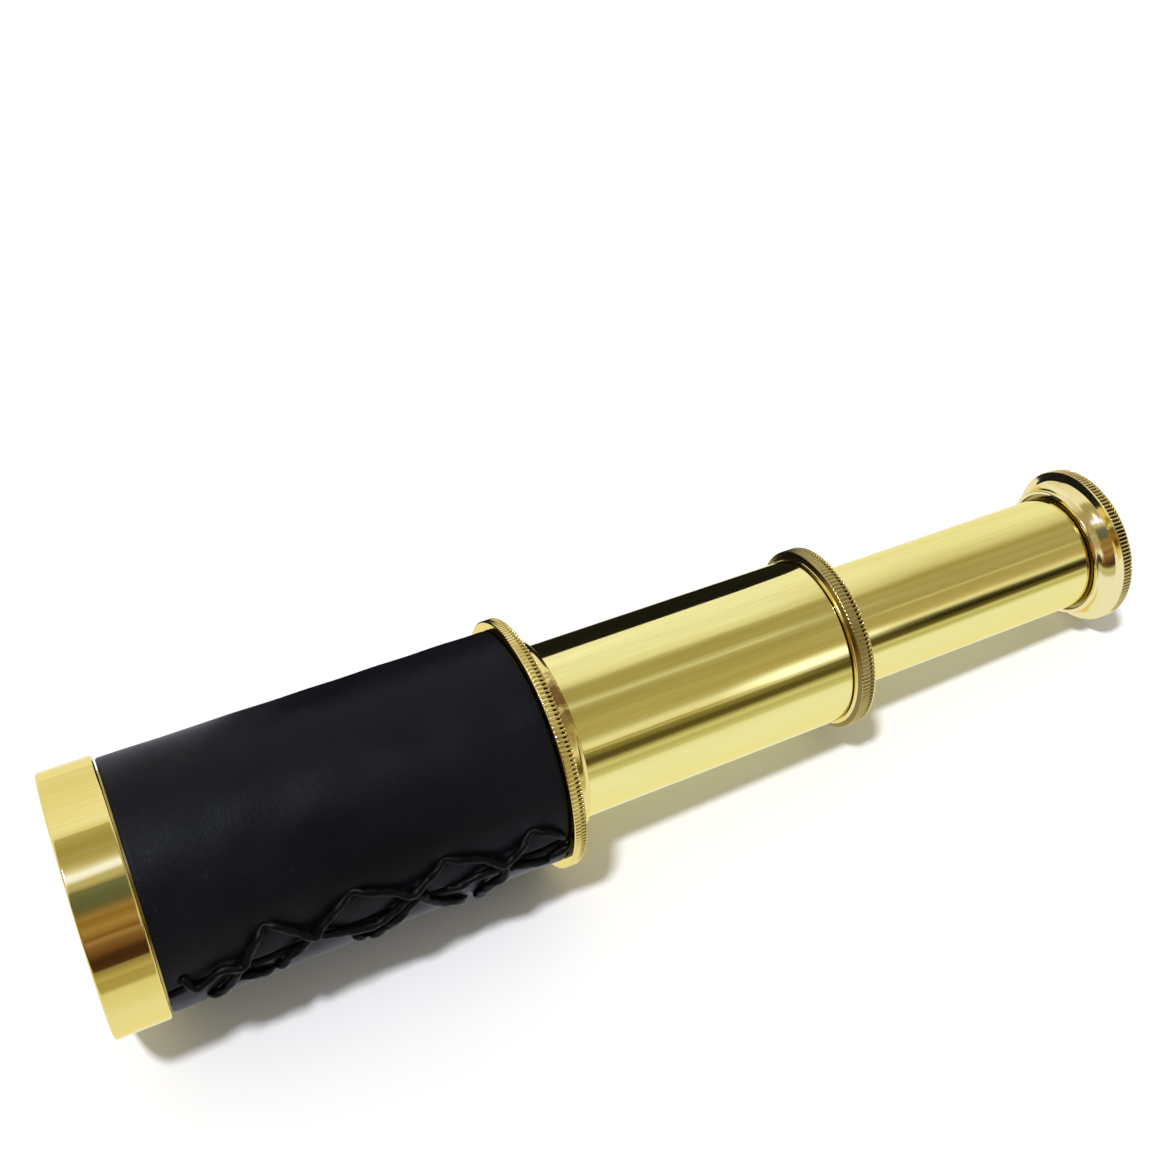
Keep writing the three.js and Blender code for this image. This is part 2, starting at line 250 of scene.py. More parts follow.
# ------------------------------------------------------------------ shader helpers
class Shader:
    """The node tree of a material or world, emptied, with short ways to add nodes."""

    def __init__(self, block, output="OutputMaterial"):
        self.block = block
        block.use_nodes = True
        self.tree = block.node_tree
        self.tree.nodes.clear()
        self.output = self.node(output)

    def feed(self, socket, value):
        """Link a socket to a socket, or set a number, a colour or a vector."""
        if isinstance(value, bpy.types.NodeSocket):
            self.tree.links.new(value, socket)
        elif isinstance(value, tuple) and socket.type == "RGBA":
            socket.default_value = (*value, 1)
        else:
            socket.default_value = value

    def node(self, kind, inputs=None, **settings):
        """inputs is keyed by socket name or number."""
        made = self.tree.nodes.new("ShaderNode" + kind)
        for key, value in settings.items():
            setattr(made, key, value)
        for key, value in (inputs or {}).items():
            self.feed(made.inputs[key], value)
        return made

    def finish(self, shader_node):
        self.feed(self.output.inputs[0], shader_node.outputs[0])

    def coords(self, along, across=None):
        """Object coordinates scaled along X and, if different, across it."""
        across = along if across is None else across
        places = self.node("TexCoord").outputs["Object"]
        return self.node("Mapping", {"Vector": places,
                                     "Scale": (along, across, across)}).outputs[0]

    def noise(self, vector, scale=1.0, detail=3.0, rough=0.55, distortion=0.0):
        return self.node("TexNoise", {"Scale": scale, "Detail": detail, "Roughness": rough,
                                      "Distortion": distortion, "Vector": vector}).outputs[0]

    def ramp(self, factor, stops):
        """stops are (position, grey or colour)."""
        made = self.node("ValToRGB", {0: factor})
        elements = made.color_ramp.elements
        while len(elements) < len(stops):
            elements.new(0.5)
        for element, (position, tone) in zip(elements, stops):
            element.position = position
            element.color = (*tone, 1) if isinstance(tone, tuple) else (tone, tone, tone, 1)
        return made.outputs[0]

    def fade(self, factor, low, high):
        """0 below low, 1 above high."""
        return self.ramp(factor, [(low, 0.0), (high, 1.0)])

    def math(self, operation, *values, clamp=False):
        return self.node("Math", dict(enumerate(values)), operation=operation,
                         use_clamp=clamp).outputs[0]

    def progress(self, value, start, span, clamp=True):
        """0 where value is start, 1 where it is start + span."""
        return self.math("DIVIDE", self.math("SUBTRACT", value, start), span, clamp=clamp)

    def between(self, value, low, high):
        return self.math("MULTIPLY", self.math("GREATER_THAN", value, low),
                         self.math("LESS_THAN", value, high))

    def vector(self, operation, *values):
        return self.node("VectorMath", dict(enumerate(values)), operation=operation).outputs[0]

    def scaled(self, vector, factor):
        return self.node("VectorMath", {0: vector, 3: factor}, operation="SCALE").outputs[0]

    def split(self, vector):
        return self.node("SeparateXYZ", {0: vector}).outputs

    def mix(self, factor, a, b):
        return self.node("Mix", {0: factor, 6: a, 7: b}, data_type="RGBA",
                         blend_type="MIX").outputs[2]

    def mix_shader(self, factor, a, b):
        return self.node("MixShader", {0: factor, 1: a.outputs[0], 2: b.outputs[0]})

    def bump(self, height, strength, distance, normal=None):
        """distance is in metres."""
        inputs = {"Strength": strength, "Distance": distance, "Height": height}
        if normal is not None:
            inputs["Normal"] = normal
        return self.node("Bump", inputs).outputs[0]


class Surface(Shader):
    """A material with one Principled shader."""

    def __init__(self, name):
        super().__init__(bpy.data.materials.new(name))
        self.principled = self.node("BsdfPrincipled")
        self.finish(self.principled)

    def set(self, values):
        for key, value in values.items():
            self.feed(self.principled.inputs[key], value)


# ------------------------------------------------------------------ brass
BRASS = (0.86, 0.755, 0.29)
TURNED_BRASS = (0.74, 0.60, 0.24)
TARNISH = (0.22, 0.11, 0.035)
# colour of the painted shade in knurl roots
GROOVE_SHADE = (0.035, 0.018, 0.006)
BORE_BLACK = (0.020, 0.017, 0.013)


def local_tarnish(g, mask, blotches, patches):
    """Add tarnish round given places to the mask."""
    x, y, z = g.split(g.coords(1000))
    for centre, width, amount, angle, spread in patches:
        distance = g.math("ABSOLUTE", g.math("SUBTRACT", x, centre + FACE_X))
        near = g.math("SUBTRACT", 1.0, g.math("DIVIDE", distance, width), clamp=True)
        place = g.math("ARCTAN2", z, g.math("MULTIPLY", y, -1.0))
        off = g.math("ABSOLUTE", g.math("SUBTRACT", place, math.radians(angle)))
        facing = g.math("SUBTRACT", 1.3, g.math("DIVIDE", off, math.radians(spread)), clamp=True)
        near = g.math("MULTIPLY", near, facing)
        patch = g.math("MULTIPLY", near, g.fade(blotches, 0.42, 0.56))
        mask = g.math("MULTIPLY_ADD", patch, amount, mask, clamp=True)
    return mask


def darken_hollows(g, colour, rough, black_bore, recesses, grooves):
    """Blacken the bore, and darken recesses and knurl roots with painted shade."""
    x, y, z = g.split(g.coords(1000))
    squares = g.math("ADD", g.math("POWER", y, 2.0), g.math("POWER", z, 2.0))
    radius = g.math("SQRT", squares)
    if black_bore:
        bore = g.math("LESS_THAN", radius, black_bore)
        colour = g.mix(g.math("MULTIPLY", bore, 0.93), colour, BORE_BLACK)
        rough = g.math("MULTIPLY_ADD", bore, 0.45, rough, clamp=True)
    # painted shade: recesses and the faces beside them are darkened
    for outer, low, high, amount, tone in recesses:
        inside = g.between(x, low + FACE_X, high + FACE_X)
        inside = g.math("MULTIPLY", inside, g.math("LESS_THAN", radius, outer))
        inside = g.math("MULTIPLY", inside, amount)
        colour = g.mix(inside, colour, tone)
        rough = g.math("MULTIPLY_ADD", inside, 0.15, rough, clamp=True)
    # painted shade: knurl roots are darkened by their depth, the pits most
    for crest, start, span, low, high, amount in grooves:
        inside = g.between(x, low + FACE_X, high + FACE_X)
        deep = g.math("DIVIDE", g.math("SUBTRACT", crest - start, radius), span, clamp=True)
        inside = g.math("MULTIPLY", inside, g.math("GREATER_THAN", radius, crest - 0.55))
        deep = g.math("MULTIPLY", deep, inside)
        deep = g.math("MULTIPLY", deep, amount, clamp=True)
        colour = g.mix(deep, colour, GROOVE_SHADE)
        rough = g.math("MULTIPLY_ADD", deep, 0.35, rough, clamp=True)
    return colour, rough


def brass(name, rough, scratches, tarnish, base=BRASS, waves=1.0, lines_round=False,
          patches=(), black_bore=0.0, recesses=(), grooves=()):
    """Brass with hairlines, handling haze, slight waviness and brown tarnish.

    lines_round: the hairlines run round the piece, not along it
    patches:     tarnish at (centre x, half width, amount, angle, spread in degrees)
    black_bore:  blackened inside this radius
    recesses:    painted shade: (outer radius, low x, high x, amount, colour)
    grooves:     painted shade in knurl roots: (crest radius, depth where the shade starts, depth to full, low x, high x, amount)
    """
    g = Surface(name)
    if lines_round:
        hair = g.noise(g.coords(9000, 90), detail=2.0, rough=0.6)
    else:
        hair = g.noise(g.coords(22, 2600), detail=3.0, rough=0.65)
    fine = g.noise(g.coords(20000, 300) if lines_round else g.coords(60, 9000),
                   detail=2.0, rough=0.5)
    haze = g.noise(g.coords(90, 260), detail=4.0, rough=0.6, distortion=0.6)
    blotches = g.noise(g.coords(260, 420), detail=5.0, rough=0.68, distortion=1.2)
    haze_amount = g.fade(haze, 0.35, 0.75)
    roughness = g.math("MULTIPLY_ADD", g.fade(hair, 0.42, 0.74), 0.10 * scratches, rough)
    roughness = g.math("MULTIPLY_ADD", haze_amount, 0.05, roughness)
    hazed = (base[0] * 0.96, base[1] * 0.93, base[2] * 0.82)
    colour = g.mix(g.math("MULTIPLY", haze_amount, 0.35), base, hazed)
    mask = g.math("MULTIPLY", g.fade(blotches, 0.60, 0.76), tarnish)
    if patches:
        mask = local_tarnish(g, mask, blotches, patches)
    colour = g.mix(mask, colour, TARNISH)
    roughness = g.math("MULTIPLY_ADD", mask, 0.25, roughness, clamp=True)
    if grooves or recesses or black_bore:
        colour, roughness = darken_hollows(g, colour, roughness, black_bore, recesses, grooves)
    wave = g.noise(g.coords(45, 170), detail=2.0, rough=0.5)
    normal = g.bump(wave, strength=0.35 * waves, distance=0.00005)
    normal = g.bump(hair, strength=0.18 * scratches, distance=0.000012, normal=normal)
    normal = g.bump(fine, strength=0.10 * scratches, distance=0.000004, normal=normal)
    g.set({"Base Color": colour, "Roughness": roughness, "Metallic": 1.0,
           "Specular Tint": (0.97, 0.90, 0.58), "Normal": normal})
    return g.block


# ------------------------------------------------------------------ other materials
def leather_material():
    """Black pebbled hide, scuffed and coarser towards the objective end."""
    g = Surface("leather_black")
    places = g.coords(1000)
    warp = g.noise(places, scale=0.9, detail=2.0)
    warp_vector = g.node("CombineXYZ", {0: warp, 1: warp, 2: warp}).outputs[0]
    warped = g.vector("MULTIPLY_ADD", warp_vector, (0.35, 0.35, 0.35), places)
    cell = g.node("TexVoronoi", {"Scale": 4.6, "Randomness": 1.0, "Vector": warped},
                  feature="DISTANCE_TO_EDGE")
    pebbles = g.ramp(cell.outputs[0], [(0.0, 0.0), (0.16, 0.85), (0.5, 1.0)])
    fine = g.noise(places, scale=6.0, detail=3.0, rough=0.6)
    crease = g.noise(g.coords(520, 170), detail=5.0, rough=0.62, distortion=1.4)
    creases = g.ramp(crease, [(0.44, 0.0), (0.50, 1.0), (0.56, 0.0)])
    cloudy = g.noise(g.coords(70, 110), detail=4.0, rough=0.6)
    scuff = g.noise(g.coords(900, 420), detail=6.0, rough=0.75, distortion=0.8)
    scuffs = g.fade(scuff, 0.63, 0.74)
    away = g.progress(g.split(places)[0], 6.9 + FACE_X, 26.0, clamp=False)
    near_objective = g.math("SUBTRACT", 1.0, away, clamp=True)
    scuff_share = g.math("MULTIPLY_ADD", near_objective, 0.55, 0.08)
    scuffed = g.math("MULTIPLY", scuffs, scuff_share, clamp=True)
    colour = g.mix(g.fade(cloudy, 0.3, 0.7),
                   (0.0030, 0.0031, 0.0045), (0.0058, 0.0060, 0.0085))
    colour = g.mix(scuffed, colour, (0.050, 0.050, 0.050))
    rough = g.math("MULTIPLY_ADD", g.fade(cloudy, 0.3, 0.7), 0.10, 0.36)
    rough = g.math("MULTIPLY_ADD", scuffed, 0.3, rough, clamp=True)
    grain = g.math("MULTIPLY_ADD", g.math("POWER", near_objective, 2.0), 0.30, 0.08)
    normal = g.bump(pebbles, strength=0.3, distance=0.00004)
    g.feed(normal.node.inputs["Strength"], grain)  # deeper pebbles near the objective
    normal = g.bump(fine, strength=0.22, distance=0.00003, normal=normal)
    normal = g.bump(creases, strength=0.10, distance=0.00007, normal=normal)
    g.set({"Base Color": colour, "Roughness": rough, "Specular IOR Level": 0.10,
           "Specular Tint": (0.86, 0.90, 1.0), "Normal": normal})
    return g.block


def cord_material():
    g = Surface("cord_waxed")
    fuzz = g.noise(g.coords(5200), detail=4.0, rough=0.7)
    wax = g.noise(g.coords(700), detail=3.0, rough=0.6)
    g.set({
        "Base Color": g.mix(g.fade(wax, 0.35, 0.7),
                            (0.0012, 0.0012, 0.0016), (0.0036, 0.0036, 0.0044)),
        "Roughness": g.math("MULTIPLY_ADD", fuzz, 0.3, 0.26),
        "Specular IOR Level": 0.09,
        "Normal": g.bump(fuzz, strength=0.5, distance=0.00005),
    })
    return g.block


def felt_material():
    brown = (0.045, 0.022, 0.016)
    g = Surface("felt_brown")
    fibres = g.noise(g.coords(2600), detail=6.0, rough=0.8, distortion=1.5)
    g.set({
        "Base Color": g.mix(fibres, tuple(c * 0.5 for c in brown),
                            tuple(c * 1.7 for c in brown)),
        "Roughness": 0.95, "Sheen Weight": 0.5, "Sheen Roughness": 0.4,
        "Normal": g.bump(fibres, strength=0.8, distance=0.0003),
    })
    return g.block


def card_material():
    g = Surface("card_black")
    fibres = g.noise(g.coords(900, 2400), detail=5.0, rough=0.7)
    g.set({
        "Base Color": g.mix(fibres, (0.004, 0.004, 0.004), (0.012, 0.012, 0.012)),
        "Roughness": 0.85,
        "Normal": g.bump(fibres, strength=0.4, distance=0.00005),
    })
    return g.block


def glass_material():
    g = Surface("lens_glass")
    dust = g.noise(g.coords(1500), detail=6.0, rough=0.75)
    g.set({"Base Color": (0.96, 0.985, 0.975), "Transmission Weight": 1.0, "IOR": 1.52,
           "Roughness": g.ramp(dust, [(0.60, 0.0), (0.86, 0.10)])})
    return g.block


def mirror_material():
    g = Surface("mirror_silver")
    streaks = g.noise(g.coords(300, 3000), detail=3.0, rough=0.6)
    g.set({"Base Color": (0.90, 0.92, 0.93), "Metallic": 1.0,
           "Roughness": g.ramp(streaks, [(0.5, 0.015), (0.8, 0.05)])})
    return g.block


LEATHER = leather_material()
CORD = cord_material()
FELT = felt_material()
CARD = card_material()
GLASS = glass_material()
MIRROR = mirror_material()
BAND_BRASS = brass("brass_band", base=(0.86, 0.72, 0.265), rough=0.03, scratches=0.4,
                   waves=1.5, tarnish=0.08)
MIDDLE_DRAW_BRASS = brass("brass_draw_middle", rough=0.03, scratches=0.45, waves=1.1,
                          tarnish=0.0, black_bore=MIDDLE_BORE + 0.2)
EYE_DRAW_BRASS = brass("brass_draw_eye", rough=0.03, scratches=0.4, waves=0.9,
                       tarnish=0.0, black_bore=EYE_BORE + 0.2)
# painted shade in the knurl roots and pits; the patches are tarnish
BARREL_COLLAR_BRASS = brass(
    "brass_barrel_collar", base=(0.85, 0.68, 0.245), rough=0.09, scratches=0.4,
    tarnish=0.08, lines_round=True,
    patches=((61.5, 1.6, 1.0, 66, 26), (60.2, 1.2, 0.8, 66, 20), (59.3, 0.5, 0.5, 62, 24)),
    grooves=((17.06, 0.02, 0.20, 57.7, 59.2, 0.55), (17.06, 0.15, 0.10, 58.4, 59.25, 1.0)))
# painted shade: the knurl band and the face before it are darkened, and the knurl roots and pits
MIDDLE_COLLAR_BRASS = brass(
    "brass_middle_collar", base=(0.84, 0.69, 0.26), rough=0.09, scratches=0.4,
    tarnish=0.1, lines_round=True,
    grooves=((13.19, 0.02, 0.16, 103.2, 105.1, 0.45), (13.19, 0.12, 0.08, 104.4, 105.12, 1.0)),
    recesses=((99.0, 103.1, 105.06, 0.8, (0.33, 0.245, 0.095)),
              (99.0, 102.84, 103.1, 0.86, (0.15, 0.085, 0.03))))
# painted shade in the socket round the eye draw tube and in the knurl roots
EYECUP_BRASS = brass(
    "brass_eyecup", base=(0.87, 0.735, 0.375), rough=0.06, scratches=0.4,
    tarnish=0.05, lines_round=True,
    grooves=((11.88, 0.10, 0.12, 150.72, 152.25, 0.95),),
    recesses=((9.30, 147.2, 148.6, 0.85, (0.30, 0.23, 0.06)),))
INNER_BRASS = brass("brass_turned", base=TURNED_BRASS, rough=0.28, scratches=1.0,
                    tarnish=0.3, lines_round=True)
BARREL_BRASS = brass("brass_barrel_tube", base=TURNED_BRASS, rough=0.28, scratches=1.0,
                     tarnish=0.3, lines_round=True, black_bore=BARREL_BORE + 0.15)


# ------------------------------------------------------------------ piece helpers
# Profiles are lists of (x, radius[, fillet]).
def finish_piece(ob, node, material, body):
    ob.data.materials.clear()
    ob.data.materials.append(material)
    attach(ob, body)
    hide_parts(node)


def turned_piece(node, profile, segments, material, body, slot, **shape):
    ob = lathe(node + "_v", profile, segments, **shape)
    finish_piece(ob, node, material, body)


def tube_profile(node, bore, fillets=(FILLET,) * 4):
    """A plain tube; fillets at low x inner, low x outer, high x outer, high x inner."""
    start, end, radius = turned_size(node)
    corners = ((start, bore), (start, radius), (end, radius), (end, bore))
    return [(x, r, fillet) for (x, r), fillet in zip(corners, fillets)]


def row(start, end, steps, radius):
    """Evenly spaced points at one radius, for a knurl to cut."""
    return [(start + (end - start) * i / steps, radius, 0.0) for i in range(steps + 1)]


def lens_profile(radius, edge_start, edge_end, front_curve, back_curve):
    """From the axis over the low x face to the rim and back; a curve of 0 is a flat face."""
    steps = 28

    def sag(curve, r):
        return curve - math.sqrt(curve * curve - r * r) if curve else 0.0

    def bulge(curve, r):
        return sag(curve, radius) - sag(curve, r)

    radii = [radius * i / steps for i in range(steps + 1)]
    front = [(edge_start - bulge(front_curve, r), r, 0) for r in radii]
    back = [(edge_end + bulge(back_curve, r), r, 0) for r in reversed(radii)]
    front[-1] = (front[-1][0], radius, 0.1)
    back[0] = (back[0][0], radius, 0.1)
    return front + back


def knurl(start, end, above, depth, grooves, run_in, run_out, power, phase_deg, pit=None):
    """Straight knurl: rounded grooves cut between two x where the radius is over `above`.

    pit = (centre x, half length, depth) is the deeper place in each groove.
    """
    phase = math.radians(phase_deg)

    def wall(x, r, angles):
        radii = np.full(len(angles), r)
        if r < above:
            return radii
        share = (float(np.clip((x - start) / run_in, 0, 1))
                 * float(np.clip((end - x) / run_out, 0, 1)))
        if share <= 0:
            return radii
        share = math.sin(share * math.pi / 2)
        wave = 0.5 - 0.5 * np.cos(grooves * angles + phase)
        uneven = 1 + 0.12 * np.sin(5 * angles + phase) + 0.08 * np.sin(17 * angles + 1.3)
        cut = depth * share * wave ** power * uneven
        if pit:
            centre, half_length, pit_depth = pit
            hollow = max(0.0, 1 - ((x - centre) / half_length) ** 2)
            cut = cut + pit_depth * math.sqrt(hollow) * wave ** 2.0 * uneven
        return radii - cut
    return wall


# ------------------------------------------------------------------ objective end
def objective_cell():
    start, end, radius = turned_size("objective_cell")
    profile = [
        (start, 12.6, 0.12), (start, radius - 0.05, 0.32), (end, radius - 0.02, 0.28),
        (end, 14.6, 0.05), (4.4, 14.6, 0.02), (4.4, 13.9, 0.02), (1.2, 13.9, 0.02),
        (1.2, 12.6, 0.08),
    ]
    turned_piece("objective_cell", profile, 256, BAND_BRASS, "objective_end",
                 "brass_polished", arc_steps=5)


objective_cell()
turned_piece("objective_lens",
             lens_profile(radius=13.6, edge_start=1.5, edge_end=2.7,
                          front_curve=82, back_curve=82),
             224, GLASS, "objective_end", "glass", closed=False, sharp_deg=30)
turned_piece("objective_lens_ring",
             tube_profile("objective_lens_ring", bore=12.2, fillets=(0.1, 0.1, 0.08, 0.15)),
             160, INNER_BRASS, "objective_end", "brass_inner")

# ------------------------------------------------------------------ barrel
turned_piece("barrel_tube", tube_profile("barrel_tube", BARREL_BORE), 160,
             BARREL_BRASS, "barrel", "brass_inner")

SEAM = math.radians(-9.0)
HOLD_X, HOLD_PITCH = 24.0, 11.7  # where the seam is held closed, and how often
# Awl holes: (x, angle in degrees)
UPPER_HOLES = [(8.9, -1.5), (18.9, 10.2), (29.5, 10.4), (41.1, 8.6), (52.3, 5.6)]
LOWER_HOLES = [(11.6, -25.0), (19.6, -20.5), (31.0, -27.5), (43.9, -34.0), (55.2, -19.5)]


def leather_radius(X, angle, seam_distance, held, start, end):
    """Outer radius of the sleeve over its grid of x and angle."""
    r = np.full_like(X, LEATHER_RADIUS)
    rng = np.random.default_rng(7)
    # soft lumps of a hand-wrapped hide
    for _ in range(26):
        turns = rng.integers(1, 9)
        pace = rng.uniform(0.05, 0.75)
        r += (rng.uniform(0.004, 0.022) * np.cos(turns * angle + rng.uniform(0, TAU))
              * np.cos(pace * X + rng.uniform(0, TAU)))
    # the seam edges lift where they are not held, are pulled in where they are, and roll over
    r += 0.16 * (1 - held) * np.exp(-(seam_distance / 2.2) ** 2)
    r -= 0.20 * held * np.exp(-(seam_distance / 3.0) ** 2)
    r -= 0.42 * np.clip(1 - seam_distance / 0.45, 0, 1) ** 2
    # the two cut ends are softened
    for end_distance in (X - start, end - X):
        r -= 0.16 * np.clip(1 - end_distance / 0.3, 0, 1) ** 2
    # the end by the barrel collar lifts a little below the seam
    r += (0.30 * np.exp(-((end - X) / 4.0) ** 2)
          * np.exp(-((np.degrees(angle) % 360 - 335) / 14.0) ** 2))
    # awl holes, pulled in by the cord
    for hole_x, hole_deg in UPPER_HOLES + LOWER_HOLES:
        turn = np.angle(np.exp(1j * (angle - math.radians(hole_deg))))
        square = (X - hole_x) ** 2 + (turn * LEATHER_RADIUS) ** 2
        r -= 0.55 * np.exp(-square / 0.42 ** 2) + 0.14 * np.exp(-square / 1.5 ** 2)
    return r


def leather_sleeve():
    start, end, _ = turned_size("leather_sleeve")
    rows, columns = ((240, 460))
    x = start + (end - start) * np.linspace(0, 1, rows)
    # columns are denser at the seam than opposite it
    t = np.linspace(-1, 1, columns)
    share = 0.5 + 0.5 * (0.55 * t + 0.45 * np.sin(t * math.pi / 2))
    X, share = np.meshgrid(x, share, indexing="ij")
    held = 0.5 + 0.5 * np.cos((X - HOLD_X) / HOLD_PITCH * TAU)
    gap = (0.35 + 0.55 * (1 - held)) / LEATHER_RADIUS
    wander = 0.35 / LEATHER_RADIUS * np.sin(X / 9.0 + 0.7)
    angle = SEAM + wander + gap / 2 + share * (TAU - gap)
    seam_distance = np.minimum(share, 1 - share) * TAU * LEATHER_RADIUS
    radius = leather_radius(X, angle, seam_distance, held, start, end)
    verts = np.concatenate([around(X, radius, angle).reshape(-1, 3),
                            around(X, np.full_like(X, LEATHER_BORE), angle).reshape(-1, 3)])
    count = rows * columns
    grid = np.arange(count).reshape(rows, columns)
    outer = np.stack([grid[:-1, :-1], grid[1:, :-1], grid[1:, 1:], grid[:-1, 1:]],
                     -1).reshape(-1, 4)
    inner = outer[:, ::-1] + count

    def edge_wall(line):
        return np.stack([line[:-1], line[1:], line[1:] + count, line[:-1] + count], -1)

    edges = (grid[0, :], grid[-1, ::-1], grid[::-1, 0], grid[:, -1])
    quads = np.concatenate([outer, inner] + [edge_wall(line) for line in edges])
    ob = quad_object("leather_sleeve_v", verts, quads, sharp_deg=50)
    finish_piece(ob, "leather_sleeve", LEATHER, "barrel")


leather_sleeve()

# ------------------------------------------------------------------ lacing
# Height of the cord's centre over the leather: lying on it, crossing over, down in a hole.
LOW, OVER, IN = 0.50, 1.02, -0.55
# Each strand is a list of (x, angle in degrees, height over the leather).
STRANDS = [
    # the upper strand, from hole to hole and over the seam between them
    [(8.9, -1.5, IN), (9.4, -6.0, 0.2), (10.4, -8.2, LOW), (13.0, -2.6, LOW),
     (15.4, -3.2, OVER), (16.6, 2.4, LOW), (17.8, 7.4, 0.4), (18.9, 10.2, -0.35),
     (20.1, 9.4, 0.3), (21.2, 6.1, LOW), (22.3, 2.4, LOW), (24.0, -2.2, OVER),
     (24.9, 0.6, 0.7), (26.3, 4.4, LOW), (27.7, 7.9, 0.42), (29.4, 10.3, -0.30),
     (30.8, 9.3, 0.3), (32.3, 7.3, LOW), (34.2, 3.9, LOW), (36.2, 0.2, OVER),
     (38.3, 3.5, LOW), (39.7, 6.6, 0.42), (41.1, 8.5, -0.30), (42.6, 7.2, 0.3),
     (44.9, 4.4, LOW), (46.2, 1.2, LOW), (47.9, -3.4, OVER), (49.3, -2.6, 0.7),
     (50.8, 1.3, LOW), (52.3, 5.4, -0.30), (53.6, 4.4, 0.3), (54.5, 3.6, LOW),
     (55.6, 0.0, LOW), (56.6, -4.5, 0.1)],
    # the lower strands, from low x to high x
    [(11.4, -25.5, IN), (11.9, -22.5, 0.3), (13.4, -17.0, LOW), (14.6, -10.0, LOW),
     (15.6, -3.6, 0.42), (17.2, 3.4, 0.30), (18.6, 9.4, -0.4)],
    [(14.1, -13.8, 0.1), (16.6, -15.5, LOW), (18.2, -19.2, 0.3), (19.6, -20.8, IN)],
    [(19.5, -20.8, IN), (19.9, -16.9, LOW), (20.9, -12.1, LOW), (22.6, -7.7, LOW),
     (24.0, -2.6, 0.42), (25.3, -5.8, 0.55), (27.2, -8.7, LOW), (29.1, -11.7, LOW),
     (31.2, -12.8, 0.60), (32.7, -11.5, LOW), (34.1, -8.4, LOW), (36.4, -3.0, 0.42),
     (38.0, -9.4, LOW), (40.2, -18.4, LOW), (42.4, -24.3, LOW), (43.6, -33.5, 0.2),
     (43.9, -35.5, IN)],
    [(28.8, -18.8, 0.05), (29.8, -22.8, 0.35), (31.0, -27.5, IN)],
    [(31.0, -27.6, IN), (31.4, -24.6, 0.45), (32.9, -18.0, 0.62), (34.0, -13.6, 0.95),
     (35.3, -9.6, 0.75), (36.6, -5.6, 0.55), (38.4, -8.0, 0.1)],
    [(40.6, -9.6, 0.1), (42.2, -9.3, LOW), (44.0, -7.1, LOW), (45.4, -6.2, 0.62),
     (47.2, -7.0, LOW), (48.6, -9.5, LOW), (50.5, -11.7, LOW), (52.7, -15.3, LOW),
     (54.4, -18.0, 0.3), (55.1, -19.6, IN)],
    [(45.0, -32.4, 0.0), (45.4, -30.3, 0.40), (46.2, -19.0, 0.62), (47.9, -12.3, 0.98),
     (48.3, -7.4, 0.72), (47.9, -3.6, 0.36)],
    [(54.6, -17.2, 0.2), (55.1, -14.1, LOW), (56.2, -11.9, 0.62), (57.2, -10.6, 0.50)],
]
THICK_STRANDS = (5, 7)  # places in STRANDS
THICK_CORD, THIN_CORD = 0.60, 0.54  # radii
CORD_SIDES = 18
CORD_STEP = 0.14        # between rings of the cord
CORD_PLIES = 3
PLY_PITCH = 2.1         # along the cord from one ply to the next


def spline(points, per_span):
    """A Catmull-Rom curve through rows of numbers."""
    p = np.array(points, float)
    p = np.vstack([2 * p[0] - p[1], p, 2 * p[-1] - p[-2]])
    curve = []
    for i in range(1, len(p) - 2):
        a, b, c, d = p[i - 1:i + 3]
        for k in range(per_span):
            t = k / per_span
            curve.append(0.5 * (2 * b + (c - a) * t + (2 * a - 5 * b + 4 * c - d) * t * t
                                + (3 * b - 3 * c + d - a) * t ** 3))
    curve.append(p[-2])
    return np.array(curve)


def unit(vectors):
    return vectors / np.linalg.norm(vectors, axis=1)[:, None]


def cord_tube(points, radius):
    """Vertices and faces of a twisted cord with rounded ends."""
    curve = spline(points, per_span=9)
    path = around(curve[:, 0], LEATHER_RADIUS + curve[:, 2], np.radians(curve[:, 1]))
    steps = np.linalg.norm(np.diff(path, axis=0), axis=1)
    length = np.concatenate([[0], np.cumsum(steps)])
    count = max(12, int(length[-1] / CORD_STEP))
    along = np.linspace(0, length[-1], count)
    path = np.stack([np.interp(along, length, path[:, i]) for i in range(3)], -1)
    tangent = unit(np.gradient(path, axis=0))
    # the outward direction of the barrel keeps the rings from spinning
    outward = unit(np.stack([np.zeros(count), path[:, 1], path[:, 2]], -1))
    normal = unit(outward - (outward * tangent).sum(1)[:, None] * tangent)
    sideways = np.cross(tangent, normal)

    angles = np.arange(CORD_SIDES) * TAU / CORD_SIDES
    twist = TAU * along[:, None] / (PLY_PITCH * CORD_PLIES)
    plies = np.abs(np.cos(CORD_PLIES / 2 * (angles[None, :] - twist)))
    radii = radius * (0.90 + 0.13 * plies)
    end_rings = min(4, count // 4)
    taper = np.sqrt(1 - (1 - (np.arange(end_rings) + 0.35) / end_rings) ** 2)
    radii[:end_rings] *= taper[:, None]
    radii[-end_rings:] *= taper[::-1, None]

    verts = path[:, None, :] + radii[:, :, None] * (
        np.cos(angles)[None, :, None] * normal[:, None, :]
        + np.sin(angles)[None, :, None] * sideways[:, None, :])
    verts = verts.reshape(-1, 3).tolist()
    faces = ring_quads(count, CORD_SIDES)
    tip = len(verts)
    verts += [path[0].tolist(), path[-1].tolist()]
    last = (count - 1) * CORD_SIDES
    for j in range(CORD_SIDES):
        j2 = (j + 1) % CORD_SIDES
        faces.append((tip, j2, j))
        faces.append((tip + 1, last + j, last + j2))
    return verts, faces


